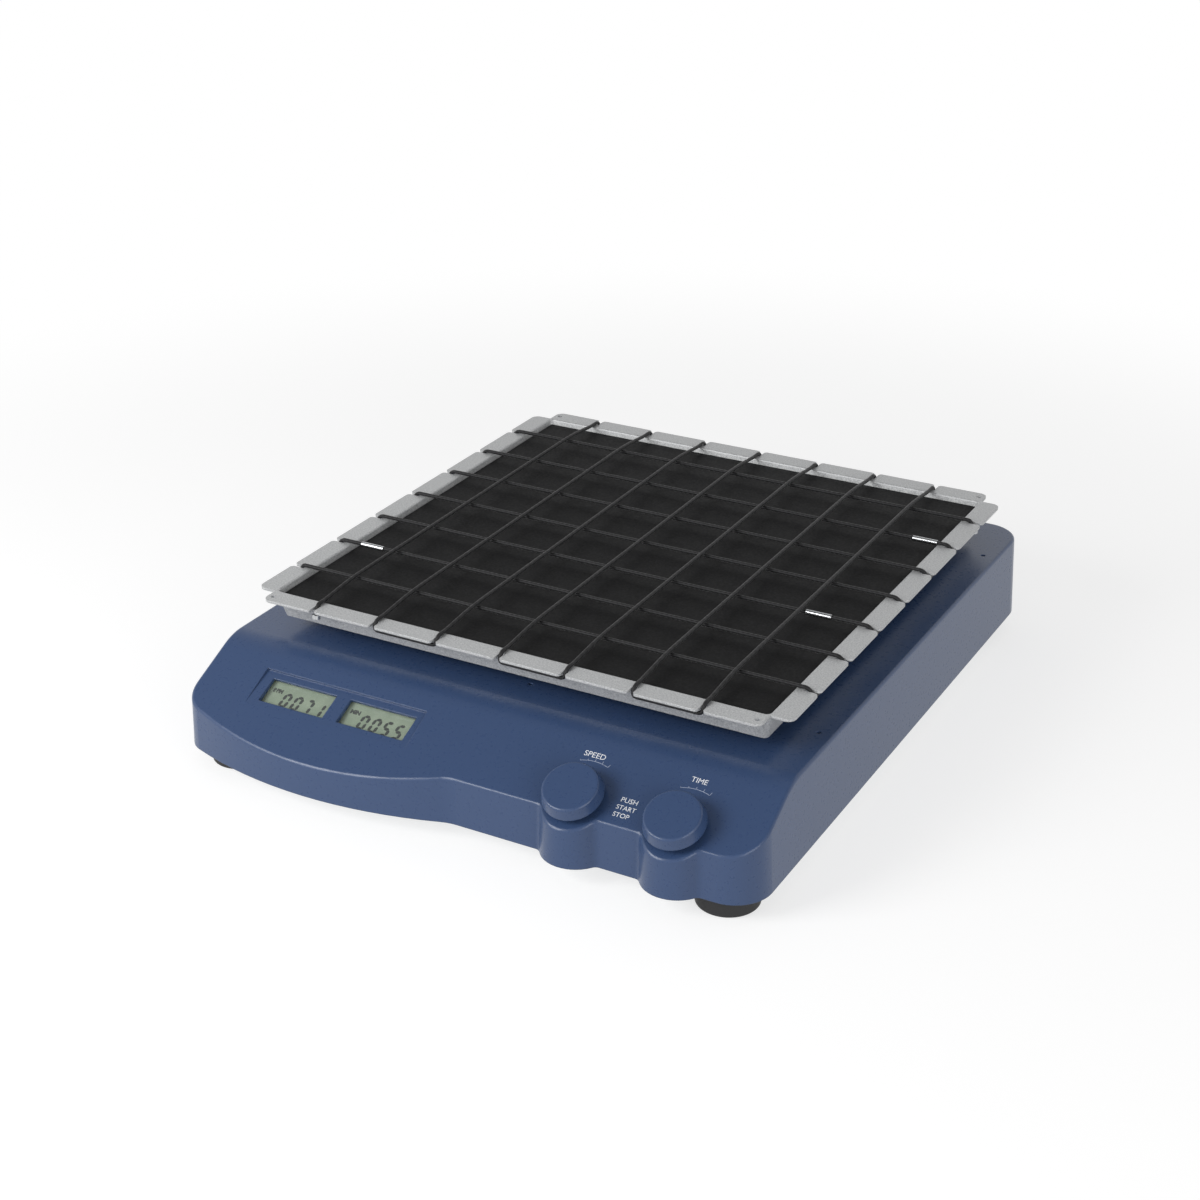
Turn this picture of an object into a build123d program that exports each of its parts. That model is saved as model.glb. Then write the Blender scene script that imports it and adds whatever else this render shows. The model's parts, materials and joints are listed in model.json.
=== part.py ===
"""Laboratory orbital shaker: a low casing with a sloping panel, and the laced tray that it swings round.

Millimetres, +Z up, +Y towards the rear. The origin is on the bench, under the middle of the casing.
"""

from build123d import *
import math
import os

# Casing: a drafted box with a flat top and a panel that slopes down to the front
casing_width = 370.0
casing_length = 431.0
casing_draft = 2.4
wall = 3.0
rear_corner_radius = 24.0
front_right_corner_radius = 22.0
front_left_corner_radius = 18.0
top_edge_radius = 1.8

# The display bulge in the left half of the front wall
bulge_depth = 15.2
bulge_side_gap = 9.0
bulge_knob_gap = 75.0
bulge_end_radius = 30.0

# Control panel
panel_slope = 26.57
panel_front_height = 28.0
panel_blend_radius = 35.0

# Control knobs and the round lobes of the front wall under them
knob_inset = 49.5
knob_spacing = 60.5
knob_setback = 9.3
lobe_margin = 2.6
lobe_front = 9.9
lobe_root_radius = 4.0
knob_base_radius = 17.6
knob_top_radius = 15.6
knob_height = 8.0
knob_lift = 3.8
knob_edge_radius = 1.6
knob_skirt_radius = 1.0
knob_wall = 2.0
knob_hub_radius = 5.5
knob_grip_depth = 4.0
push_travel = 1.0
knob_gap = 0.5

# Push encoders behind the panel
encoder_shaft_radius = 3.0
encoder_bush_radius = 3.5
encoder_bush_height = 4.5
encoder_body_size = 13.0
encoder_body_depth = 9.0
encoder_nut_size = 11.0
encoder_nut_height = 2.0
plunger_length = 2.0
running_clearance = 0.05
panel_hole_clearance = 0.2

# Displays: a shallow wedge recess with two windows
window_width = 45.0
window_height = 17.0
window_gap = 9.5
window_corner_radius = 0.6
recess_left_margin = 7.0
recess_right_margin = 4.5
recess_low_margin = 4.1
recess_high_margin = 4.9
recess_depth = 1.5
recess_inset = 40.0
recess_setback = 10.4
pane_lap = 2.0
pane_thickness = 1.0
display_gap = 0.3
display_thickness = 2.8
display_board_side_lap = 3.5
display_board_lap = 5.0
board_thickness = 1.6
display_post_radius = 2.4
display_post_edge = 3.4

# Small holes in the flat top
top_hole_radius = 1.4
top_hole_edge = 11.5
top_hole_setback = 102.8
top_hole_rear_inset = 53.8
middle_hole_x = 7.7
middle_hole_setback = 77.0

# Base plate, its screws and the feet
base_thickness = 4.0
base_recess = 1.0
base_clearance = 0.6
cover_post_radius = 5.0
cover_post_edge = 13.0
cover_post_setback = 62.3
cover_post_rear_inset = 77.5
base_screw_radius = 2.0
base_screw_head_radius = 3.8
base_screw_length = 12.0
foot_height = 12.0
foot_top_radius = 18.0
foot_bottom_radius = 17.6
foot_edge_radius = 1.2
foot_inset_x = 25.3
foot_inset_front = 22.0
foot_inset_rear = 37.5
foot_screw_radius = 2.5
foot_screw_head_radius = 4.5
foot_screw_head_height = 3.0
foot_pocket_radius = 5.2
foot_pocket_depth = 6.0

# Orbit drive
orbit_radius = 5.0
tray_y = 27.0
headroom = 0.6
hub_height = 8.5
turning_gap = 1.2
crank_head_radius = 17.0
crank_head_thickness = 4.0
drive_shaft_radius = 7.5
crank_pin_radius = 6.0
ball_bearing_radius = 14.0
ball_bearing_width = 7.0
bearing_ring_thickness = 2.1
bearing_seal_gap = 0.3
bearing_lip = 2.0
drive_bearing_spacing = 4.5
drive_housing_radius = 22.0
drive_flange_lap = 16.0
housing_flange_thickness = 5.0
pulley_height = 11.0
pulley_flange_height = 1.0
pulley_flange_lip = 2.2
pulley_web = 4.0
pulley_rim = 4.0
pulley_hub_radius = 20.0
drive_pulley_radius = 48.0
motor_pulley_radius = 12.0
belt_thickness = 1.5
belt_gap = 0.3
counterweight_height = 5.5
counterweight_gap = 1.0

# Motor
motor_distance = 110.0
motor_radius = 32.0
motor_gap = 2.7
motor_flange_lap = 10.0
motor_flange_thickness = 3.0
motor_shaft_radius = 4.0

# Idler cranks that keep the carrier from turning
idler_spread = 85.0
idler_pin_radius = 4.0
idler_bush_radius = 6.0
idler_bush_length = 8.0
idler_boss_radius = 11.0
idler_flange_lap = 9.0
idler_web_radius = 7.0
idler_web_thickness = 4.0

# Carrier, posts and splash discs under the tray
carrier_thickness = 4.0
carrier_arm_width = 40.0
carrier_hub_radius = 24.0
post_spread = 120.0
post_radius = 8.0
post_spigot_radius = 4.0
post_hole_clearance = 2.0
disc_overlap = 3.0
disc_thickness = 1.2
disc_gap = 0.4

# Tray: a folded sheet pan whose rim is cut into tabs
tray_gap = 8.5
tray_depth = 16.5
tray_sheet = 1.5
tray_opening_half = 160.3
tray_wall_lean = 2.3
tray_rim_width = 13.5
tray_rim_end_gap = 0.7
tray_corner_radius = 3.0
tray_bend_radius = 1.2
tray_floor_bend_radius = 2.2
rim_end_radius = 5.0
tab_corner_radius = 2.2
slot_pitch = 42.0
slot_count = 7
slot_play = 0.6
rim_hole_radius = 1.6
rim_hole_inset = 4.0
tray_screw_radius = 2.5
tray_screw_head_radius = 4.7
tray_screw_head_height = 2.6
tray_screw_length = 12.0

# Rubber mat and elastic lacing
mat_thickness = 12.0
mat_clearance = 0.3
mat_edge_radius = 1.0
mat_pocket_clearance = 0.6
cord_radius = 1.2
cord_clearance = 0.3
cord_bend_radius = 2.0
cord_dive = 7.4
cord_dive_run = 2.8
cord_ramp_out = 158.0
cord_ramp_in = 132.0
cord_ramp_radius = 60.0
ferrule_radius = 1.6
ferrule_length = 16.0
stopper_radius = 2.6
stopper_length = 5.0

# Power inlet and switch in the rear wall
rear_recess_depth = 4.0
rear_recess_margin = 11.0
rear_recess_height = 32.0
rear_recess_z = 24.0
inlet_inset = 70.0
inlet_wall = 1.5
inlet_depth = 22.0
inlet_flange_lap = 2.5
rear_flange_thickness = 2.0
socket_width = 24.0
socket_height = 16.0
socket_depth = 17.0
inlet_pin_width = 2.0
inlet_pin_height = 4.0
inlet_pin_length = 14.0
inlet_pin_spacing = 14.0
inlet_pin_offset = 2.0
switch_gap = 14.5
switch_wall = 1.6
switch_depth = 18.0
rocker_radius = 8.8
rocker_width = 11.0
rocker_gap = 0.4
rocker_pivot_depth = 6.0
rocker_valley = 5.2
rocker_pin_radius = 1.2
rocker_tilt = 7.0

# Power supply and control board
supply_width = 100.0
supply_length = 66.0
supply_height = 26.0
supply_rear_gap = 27.5
supply_tab = 9.0
supply_tab_thickness = 1.5
control_board_width = 92.0
control_board_length = 58.0
control_board_offset = 33.0
board_stud_height = 6.0
board_stud_radius = 3.0
board_stud_edge = 5.0
component_edge = 13.0
chip_size = 14.0
chip_thickness = 3.0
terminal_length = 22.0
terminal_height = 9.0
relay_length = 24.0
relay_height = 8.0
component_width = 10.0
capacitor_radius = 5.0
capacitor_height = 14.0

# Small screws of the inner pieces
small_screw_radius = 1.5
small_screw_head_radius = 2.8
small_screw_head_height = 2.0
frame_screw_radius = 2.0
frame_screw_head_radius = 3.6
frame_screw_head_height = 2.4
thread_clearance = 0.05

# Levels worked out from the sizes above: the casing closes over the stack of the drive
drive_housing_height = 1.5 * bearing_lip + 2 * ball_bearing_width + drive_bearing_spacing
drive_stack = drive_housing_height + turning_gap + pulley_height + turning_gap + hub_height
casing_height = base_recess + base_thickness + drive_stack + headroom + wall
casing_bottom = foot_height
casing_top = casing_bottom + casing_height
base_bottom = casing_bottom + base_recess
base_top = base_bottom + base_thickness
ceiling = casing_top - wall
hub_top = ceiling - headroom
carrier_bottom = hub_top - hub_height
carrier_top = carrier_bottom + carrier_thickness
crank_top = carrier_bottom - turning_gap
pulley_bottom = crank_top - pulley_height
idler_housing_top = crank_top - idler_web_thickness - turning_gap / 2
pin_top = hub_top - headroom / 2
motor_height = pulley_bottom - motor_gap - base_top
tray_underside = casing_top + tray_gap
rim_top = tray_underside + tray_depth
rim_bottom = rim_top - tray_sheet

# Places worked out from the sizes above
casing_side = casing_width / 2
casing_rear = casing_length / 2
front_wall_y = -casing_length / 2 + bulge_depth
drive_y = tray_y - orbit_radius
motor_y = drive_y - motor_distance
time_knob_x = casing_side - knob_inset
speed_knob_x = time_knob_x - knob_spacing
lobe_radius = knob_base_radius + lobe_margin
bulge_left = -casing_side + bulge_side_gap
bulge_right = speed_knob_x - bulge_knob_gap
recess_width = recess_left_margin + 2 * window_width + window_gap + recess_right_margin
recess_height = recess_low_margin + window_height + recess_high_margin
recess_x = -casing_side + recess_inset + recess_width / 2
speed_window_x = recess_x - recess_width / 2 + recess_left_margin + window_width / 2
time_window_x = speed_window_x + window_width + window_gap
window_setback = recess_setback + recess_low_margin + window_height / 2
display_board_width = recess_width + 2 * display_board_side_lap
display_board_height = window_height + 2 * display_board_lap
post_hole_radius = post_radius + orbit_radius + post_hole_clearance
disc_radius = post_hole_radius + orbit_radius + disc_overlap
drive_flange_radius = drive_housing_radius + drive_flange_lap
motor_flange_radius = motor_radius + motor_flange_lap
idler_flange_radius = idler_boss_radius + idler_flange_lap
rim_outer = tray_opening_half + tray_rim_width
tray_floor_half = tray_opening_half - tray_wall_lean
slot_width = 2 * cord_radius + slot_play
inlet_width = socket_width + 2 * inlet_wall
inlet_height = socket_height + 2 * inlet_wall
inlet_side = inlet_width / 2 + inlet_flange_lap
switch_width = rocker_width + 2 * (rocker_gap + switch_wall)
switch_height = 2 * (rocker_radius + rocker_gap + switch_wall)
switch_side = switch_width / 2 + rear_flange_thickness
inlet_x = casing_side - inlet_inset
switch_x = inlet_x - inlet_side - switch_gap - switch_side
rear_recess_right = inlet_x + inlet_side + rear_recess_margin
rear_recess_left = switch_x - switch_side - rear_recess_margin
rear_recess_width = rear_recess_right - rear_recess_left
rear_recess_x = (rear_recess_left + rear_recess_right) / 2
rear_plane = casing_rear - rear_recess_depth
rear_centre_z = casing_bottom + rear_recess_z
supply_y = casing_rear - supply_rear_gap - supply_length / 2
control_board_x = -(casing_side - cover_post_edge - cover_post_radius + motor_flange_radius) / 2
control_board_y = motor_y - control_board_offset
front_lean = panel_front_height * math.tan(math.radians(casing_draft))
slope = math.radians(panel_slope)
corners = [(sx, sy) for sy in (-1, 1) for sx in (-1, 1)]

panel = Plane(
    origin=(0, front_wall_y + front_lean, casing_bottom + panel_front_height),
    x_dir=(1, 0, 0),
    z_dir=(0, -math.sin(slope), math.cos(slope)),
)


def disc(radius, height, x=0.0, y=0.0, z=0.0):
    """An upright cylinder that stands on height z."""
    return Pos(x, y, z) * Cylinder(radius, height, align=(Align.CENTER, Align.CENTER, Align.MIN))


def ring(outer, inner, height, x=0.0, y=0.0, z=0.0):
    """An upright tube that stands on height z."""
    return disc(outer, height, x, y, z) - disc(inner, height, x, y, z)


def block(width, length, height, x=0.0, y=0.0, z=0.0):
    """A box centred in x and y that stands on height z."""
    return Pos(x, y, z) * Box(width, length, height, align=(Align.CENTER, Align.CENTER, Align.MIN))


def pan_screw(shank_radius, length, head_radius, head_height):
    """A screw that points down, with its head on height 0 and a cross slot in it."""
    head = disc(head_radius, head_height)
    top_edge = head.edges().filter_by(GeomType.CIRCLE).sort_by(Axis.Z)[-1]
    head = fillet(top_edge, head_height * 0.45)
    slot_depth = head_height * 0.6
    for turn in (0, 90):
        bar = block(head_radius * 1.1, head_radius * 0.25, slot_depth, z=head_height - slot_depth)
        head -= Rot(0, 0, turn) * bar
    return head + disc(shank_radius, length, z=-length)


def flat_screw(shank_radius, length, head_radius):
    """A countersunk screw that points down, with its flat head's top on height 0."""
    head_height = head_radius - shank_radius
    head = Pos(0, 0, -head_height / 2) * Cone(shank_radius, head_radius, head_height)
    socket = extrude(RegularPolygon(head_radius * 0.45, 6), amount=-head_height * 0.6)
    return head + disc(shank_radius, length, z=-length) - socket


def save(node, *solids):
    """Writes one node, with each of its solids kept apart."""
    shapes = [solid for piece in solids for solid in piece.solids()]
    shape = shapes[0] if len(shapes) == 1 else Compound(children=shapes)
    shape.label = node
    export_step(shape, os.path.join("parts", node + ".step"))


def casing_outline():
    """The casing's outline on its bottom edge, as a flat face."""
    side = casing_side
    bulge_x = (bulge_left + bulge_right) / 2
    half_width = (bulge_right - bulge_left) / 2
    radius = (half_width**2 + bulge_depth**2) / (2 * bulge_depth)
    centre_y = -casing_length / 2 + radius
    left_y = centre_y - math.sqrt(radius**2 - (side + bulge_x) ** 2)
    bulge_end = (bulge_right, front_wall_y)
    outline = Polyline(
        bulge_end, (side, front_wall_y), (side, casing_rear), (-side, casing_rear), (-side, left_y)
    )
    bulge = ThreePointArc((-side, left_y), (bulge_x, -casing_length / 2), bulge_end)
    face = make_face(outline.edges() + bulge.edges())
    rounds = (
        (bulge_end, bulge_end_radius),
        ((side, front_wall_y), front_right_corner_radius),
        ((side, casing_rear), rear_corner_radius),
        ((-side, casing_rear), rear_corner_radius),
        ((-side, left_y), front_left_corner_radius),
    )
    for corner, rounding in rounds:
        face = fillet(face.vertices().sort_by_distance((*corner, 0))[0], rounding)
    for knob_x in (speed_knob_x, time_knob_x):
        face += Pos(knob_x, front_wall_y - lobe_front + lobe_radius) * Circle(lobe_radius)
        half = math.sqrt(lobe_radius**2 - (lobe_radius - lobe_front) ** 2)
        for x in (knob_x - half, knob_x + half):
            face = fillet(face.vertices().sort_by_distance((x, front_wall_y, 0))[0], lobe_root_radius)
    return face


def below_roof(drop):
    """Everything under the flat top, its blend and the panel, all lowered by a thickness."""
    top = casing_top - drop
    panel_z = panel.origin.Z - drop / math.cos(slope)
    knee_y = panel.origin.Y + (top - panel_z) / math.tan(slope)
    ahead = casing_length / 2 + 2 * wall + panel.origin.Y
    low_point = (panel.origin.Y - ahead, panel_z - ahead * math.tan(slope))
    behind = casing_length
    side = Polyline(
        (low_point[0], 0), low_point, (knee_y, top), (behind, top), (behind, 0), close=True
    )
    face = make_face(Plane.YZ * side)
    knee = face.vertices().sort_by_distance((0, knee_y, top))[0]
    face = fillet(knee, panel_blend_radius - drop)
    return extrude(face, amount=casing_width, both=True)


def drafted(face):
    """The casing's outline drawn up to the top, leaning in with the draft."""
    return extrude(Pos(0, 0, casing_bottom) * face, amount=casing_height, taper=casing_draft)


def on_panel(shape, x, setback, height=0.0):
    """A shape made about the origin, set on the panel at a distance up from its front edge."""
    return panel.location * Pos(x, setback, height) * shape


def make_outer(outline):
    """The casing's outside, with the edge between its walls and its top rounded."""
    outer = drafted(outline) & below_roof(0)
    knee_y = panel.origin.Y + (casing_top - panel.origin.Z) / math.tan(slope)
    rim = []
    for edge in outer.edges():
        middle = edge @ 0.5
        roof_z = min(casing_top, panel.origin.Z + (middle.Y - panel.origin.Y) * math.tan(slope))
        near_knee = abs(middle.Y - knee_y) < panel_blend_radius
        if middle.Z < casing_bottom + 1 or middle.Z < roof_z - panel_blend_radius * 0.1:
            continue
        if near_knee and edge.length > casing_width * 0.8:
            continue
        if abs((edge % 0.5).Z) > 0.8:
            continue
        rim.append(edge)
    return fillet(rim, top_edge_radius)


def cover_post_places():
    """Places of the screw posts inside the two side walls."""
    x = casing_side - cover_post_edge
    front = front_wall_y + cover_post_setback
    rear = casing_rear - cover_post_rear_inset
    return [(side * x, y) for y in (front, (front + rear) / 2, rear) for side in (-1, 1)]


def post_places(y):
    """The four corner posts about a centre at that y."""
    return [(sx * post_spread, y + sy * post_spread) for sx, sy in corners]


def display_post_places():
    """Corners of the display board's four screw posts, about the board's middle."""
    half_x = display_board_width / 2 - display_post_edge
    half_y = display_board_height / 2 - display_post_edge
    return [(sx * half_x, sy * half_y) for sx, sy in corners]


def make_top_cover(outline):
    """The moulded cover: a thin shell with the openings for everything that shows through it."""
    outer = make_outer(outline)
    inner_outline = offset(outline, amount=-wall)
    inner = drafted(inner_outline) & below_roof(wall)
    cover = outer - inner

    for x, y in cover_post_places():
        post = disc(cover_post_radius, casing_height, x, y, base_top) & outer & below_roof(wall / 2)
        cover += post - disc(base_screw_radius, base_screw_length, x, y, base_top - base_thickness)

    pad = block(rear_recess_width + 2 * wall, 2 * wall + rear_recess_depth, ceiling - base_top)
    pad = Pos(rear_recess_x, rear_plane - wall + rear_recess_depth / 2 + wall, base_top) * pad
    cover += pad & outer

    display_post = disc(display_post_radius, pane_thickness + display_gap + display_thickness)
    for x, y in display_post_places():
        depth = wall + pane_thickness + display_gap + display_thickness
        cover += on_panel(display_post, recess_x + x, window_setback + y, -depth)
        pilot = disc(small_screw_radius, depth - wall, z=-depth)
        cover -= on_panel(pilot, recess_x + x, window_setback + y)

    wedge_side = Polyline(
        (0, 0), (recess_height, -recess_depth), (recess_height, wall), (0, wall), close=True
    )
    wedge = extrude(make_face(Plane.YZ * wedge_side), amount=recess_width / 2, both=True)
    cover -= on_panel(wedge, recess_x, recess_setback)
    window = extrude(
        RectangleRounded(window_width, window_height, window_corner_radius), amount=2 * wall, both=True
    )
    for x in (speed_window_x, time_window_x):
        cover -= on_panel(window, x, window_setback)
    for x in (speed_knob_x, time_knob_x):
        hole = Cylinder(encoder_bush_radius + panel_hole_clearance, 4 * wall)
        cover -= on_panel(hole, x, knob_setback)

    for x, y in post_places(drive_y):
        cover -= disc(post_hole_radius, 2 * wall, x, y, ceiling - wall / 2)
    small_hole = disc(top_hole_radius, 2 * wall, z=ceiling - wall / 2)
    for y in (front_wall_y + top_hole_setback, casing_rear - top_hole_rear_inset):
        for side in (-1, 1):
            cover -= Pos(side * (casing_side - top_hole_edge), y) * small_hole
    cover -= Pos(middle_hole_x, front_wall_y + middle_hole_setback) * small_hole

    recess = Box(rear_recess_width, 2 * rear_recess_depth, rear_recess_height)
    recess = fillet(recess.edges().filter_by(Axis.Y), 2 * wall / 3)
    cover -= Pos(rear_recess_x, rear_plane + rear_recess_depth, rear_centre_z) * recess
    for x, width, height in ((inlet_x, inlet_width, inlet_height), (switch_x, switch_width, switch_height)):
        cut = Box(width + 2 * panel_hole_clearance, 4 * wall, height + 2 * panel_hole_clearance)
        cover -= Pos(x, rear_plane, rear_centre_z) * cut
    save("top_cover", cover)


def foot_places():
    """Foot centres, from front left to rear right."""
    x = casing_side - foot_inset_x
    front = front_wall_y + foot_inset_front
    rear = casing_rear - foot_inset_rear
    return {
        "front_left": (-x, front),
        "front_right": (x, front),
        "rear_left": (-x, rear),
        "rear_right": (x, rear),
    }


def board_stud_places():
    """Corners of the control board's four studs."""
    half_x = control_board_width / 2 - board_stud_edge
    half_y = control_board_length / 2 - board_stud_edge
    return [(control_board_x + sx * half_x, control_board_y + sy * half_y) for sx, sy in corners]


def make_base(outline):
    """Heavy steel plate that closes the casing and carries the whole drive, with its feet and screws."""
    face = offset(outline, amount=-wall - base_clearance)
    plate = extrude(Pos(0, 0, base_bottom) * face, amount=base_thickness)
    head_height = base_screw_head_radius - base_screw_radius
    countersink = Pos(0, 0, base_bottom + head_height / 2) * Cone(
        base_screw_head_radius, base_screw_radius, head_height
    )
    screw = Rot(180, 0, 0) * flat_screw(
        base_screw_radius - thread_clearance, base_screw_length, base_screw_head_radius - thread_clearance
    )
    screws = []
    for x, y in cover_post_places():
        plate -= Pos(x, y) * (disc(base_screw_radius, base_thickness, z=base_bottom) + countersink)
        screws.append(Pos(x, y, base_bottom) * screw)
    foot_screw_length = base_top - foot_pocket_depth
    foot_screws = []
    for x, y in foot_places().values():
        plate -= disc(foot_screw_radius, base_thickness, x, y, base_bottom)
        foot_screw = Rot(180, 0, 0) * pan_screw(
            foot_screw_radius - thread_clearance,
            foot_screw_length,
            foot_screw_head_radius,
            foot_screw_head_height,
        )
        foot_screws.append(Pos(x, y, foot_pocket_depth) * foot_screw)
    for x, y in board_stud_places():
        plate += disc(board_stud_radius, board_stud_height, x, y, base_top)
        plate -= disc(small_screw_radius, board_stud_height, x, y, base_top)
    for x, y, thickness in frame_screw_places():
        plate -= disc(frame_screw_radius, base_thickness, x, y, base_bottom)
    save("base_plate", plate)
    save("base_screws", *screws)
    save("foot_screws", *foot_screws)

    foot = Pos(0, 0, base_bottom / 2) * Cone(foot_bottom_radius, foot_top_radius, base_bottom)
    foot = fillet(foot.edges().sort_by(Axis.Z)[0], foot_edge_radius)
    foot -= disc(foot_pocket_radius, foot_pocket_depth)
    foot -= disc(foot_screw_radius, base_bottom)
    for place, (x, y) in foot_places().items():
        save("foot_" + place, Pos(x, y) * foot)


def frame_screw_places():
    """Screws that hold the motor, the bearing housings and the power supply to the base plate."""
    places = []
    motor_pitch = (motor_radius + motor_flange_radius) / 2
    drive_pitch = (drive_housing_radius + drive_flange_radius) / 2
    idler_pitch = (idler_boss_radius + idler_flange_radius) / 2
    for step in range(4):
        angle = math.radians(45 + 90 * step)
        reach_x, reach_y = math.cos(angle), math.sin(angle)
        places.append((motor_pitch * reach_x, motor_y + motor_pitch * reach_y, motor_flange_thickness))
        places.append((drive_pitch * reach_x, drive_y + drive_pitch * reach_y, housing_flange_thickness))
    for x, y in idler_places():
        for side in (-1, 1):
            places.append((x + side * idler_pitch, y, housing_flange_thickness))
    tab_x = (supply_width + supply_tab) / 2
    for sx, sy in corners:
        places.append((sx * tab_x, supply_y + sy * supply_length / 4, supply_tab_thickness))
    return places


def idler_places():
    """Fixed axes of the four idler cranks."""
    return [(sx * idler_spread, drive_y + sy * idler_spread) for sx, sy in corners]


def make_frame_screws():
    """One group of like screws for the inner castings, and the display board's own."""
    screws = []
    for x, y, thickness in frame_screw_places():
        screw = pan_screw(
            frame_screw_radius - thread_clearance,
            thickness + base_thickness,
            frame_screw_head_radius,
            frame_screw_head_height,
        )
        screws.append(Pos(x, y, base_top + thickness) * screw)
    for x, y in board_stud_places():
        screw = pan_screw(
            small_screw_radius - thread_clearance,
            board_thickness + board_stud_height,
            small_screw_head_radius,
            small_screw_head_height,
        )
        screws.append(Pos(x, y, base_top + board_stud_height + board_thickness) * screw)
    save("frame_screws", *screws)


def make_displays():
    """Clear panes, display glasses and their board, stacked behind the panel."""
    pane = extrude(
        RectangleRounded(window_width + 2 * pane_lap, window_height + 2 * pane_lap, pane_lap),
        amount=-pane_thickness,
    )
    display = block(window_width + 2 * pane_lap, window_height + 2 * pane_lap, display_thickness)
    display_depth = wall + pane_thickness + display_gap + display_thickness
    panes = []
    for name, x in (("speed_display", speed_window_x), ("time_display", time_window_x)):
        panes.append(on_panel(pane, x, window_setback, -wall))
        save(name, on_panel(display, x, window_setback, -display_depth))
    save("display_windows", *panes)

    board = block(display_board_width, display_board_height, board_thickness)
    screw = Rot(180, 0, 0) * pan_screw(
        small_screw_radius - thread_clearance,
        board_thickness + display_thickness,
        small_screw_head_radius,
        small_screw_head_height,
    )
    screws = []
    board_back = display_depth + board_thickness
    for x, y in display_post_places():
        board -= disc(small_screw_radius, board_thickness, x, y)
        screws.append(on_panel(screw, recess_x + x, window_setback + y, -board_back))
    save("display_board", on_panel(board, recess_x, window_setback, -board_back))
    save("display_board_screws", *screws)


def make_knobs():
    """Two push-and-turn controls: knob, shaft, encoder with its nut, and the plunger under the shaft."""
    body_bottom = -wall - encoder_body_depth
    plunger_bottom = body_bottom + plunger_length / 2 + push_travel
    plunger_top = plunger_bottom + plunger_length
    shaft_bottom = plunger_top + running_clearance
    hub_bottom = encoder_bush_height + push_travel + knob_gap
    shaft_top = hub_bottom + knob_grip_depth
    knob_top = knob_lift + knob_height
    knob_middle = knob_lift + knob_height / 2

    encoder = block(encoder_body_size, encoder_body_size, encoder_body_depth, z=body_bottom)
    encoder += disc(encoder_bush_radius, wall + encoder_bush_height, z=-wall)
    bore_bottom = body_bottom + plunger_length / 2
    bore = disc(encoder_shaft_radius + running_clearance, encoder_bush_height - bore_bottom, z=bore_bottom)
    encoder -= bore

    nut = extrude(RegularPolygon(encoder_nut_size / 2, 6, major_radius=False), amount=encoder_nut_height)
    nut -= disc(encoder_bush_radius, encoder_nut_height)

    plunger = disc(encoder_shaft_radius, plunger_length, z=plunger_bottom)
    shaft = disc(encoder_shaft_radius, shaft_top - shaft_bottom, z=shaft_bottom)

    knob = Pos(0, 0, knob_middle) * Cone(knob_base_radius, knob_top_radius, knob_height)
    knob = fillet(knob.edges().sort_by(Axis.Z)[-1], knob_edge_radius)
    knob = fillet(knob.edges().sort_by(Axis.Z)[0], knob_skirt_radius)
    hollow = Cone(knob_base_radius - knob_wall, knob_top_radius - knob_wall, knob_height)
    knob -= Pos(0, 0, knob_middle - knob_wall) * hollow
    hub_height_in_knob = knob_top - knob_wall / 2 - hub_bottom
    knob += disc(knob_hub_radius, hub_height_in_knob, z=hub_bottom)
    knob -= disc(encoder_shaft_radius, shaft_top - hub_bottom, z=hub_bottom)

    nuts = []
    for name, x in (("speed", speed_knob_x), ("time", time_knob_x)):
        save(name + "_encoder", on_panel(encoder, x, knob_setback))
        save(name + "_plunger", on_panel(plunger, x, knob_setback))
        save(name + "_shaft", on_panel(shaft, x, knob_setback))
        save(name + "_knob", on_panel(knob, x, knob_setback))
        nuts.append(on_panel(nut, x, knob_setback))
    save("encoder_nuts", *nuts)


def flanged_pulley(radius):
    """A belt pulley's outer form, standing on height 0."""
    body = disc(radius, pulley_height)
    lip = disc(radius + pulley_flange_lip, pulley_flange_height)
    return body + lip + Pos(0, 0, pulley_height - pulley_flange_height) * lip


def make_motor():
    """Flat brushless motor with its shaft and pulley, and the belt to the drive pulley."""
    housing = disc(motor_radius, motor_height)
    housing = fillet(housing.edges().sort_by(Axis.Z)[-1], motor_flange_thickness)
    housing += disc(motor_flange_radius, motor_flange_thickness)
    shaft_bottom = motor_flange_thickness
    housing -= disc(motor_shaft_radius + running_clearance, motor_height, z=shaft_bottom)
    housing = Pos(0, motor_y, base_top) * housing
    for x, y, thickness in frame_screw_places():
        housing -= disc(frame_screw_radius, motor_flange_thickness, x, y, base_top)
    save("motor_housing", housing)

    shaft_start = base_top + shaft_bottom + running_clearance
    save("motor_shaft", disc(motor_shaft_radius, crank_top - shaft_start, 0, motor_y, shaft_start))
    pulley = flanged_pulley(motor_pulley_radius) - disc(motor_shaft_radius, pulley_height)
    save("motor_pulley", Pos(0, motor_y, pulley_bottom) * pulley)

    belt_width = pulley_height - 2 * pulley_flange_height - 2 * belt_gap
    loops = []
    for grow in (belt_gap, belt_gap + belt_thickness):
        large = Pos(0, drive_y) * Circle(drive_pulley_radius + grow)
        small = Pos(0, motor_y) * Circle(motor_pulley_radius + grow)
        loops.append(make_hull(large.edges() + small.edges()))
    belt = extrude(loops[1], amount=belt_width) - extrude(loops[0], amount=belt_width)
    save("drive_belt", Pos(0, 0, pulley_bottom + pulley_flange_height + belt_gap) * belt)


def bearing_rings(bore_radius, width, x, y, z):
    """Outer ring with its seals, and inner ring, of one ball bearing."""
    seal_radius = bore_radius + bearing_ring_thickness + bearing_seal_gap
    outer = ring(ball_bearing_radius, seal_radius, width, x, y, z)
    inner = ring(bore_radius + bearing_ring_thickness, bore_radius, width, x, y, z)
    return outer, inner


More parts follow.
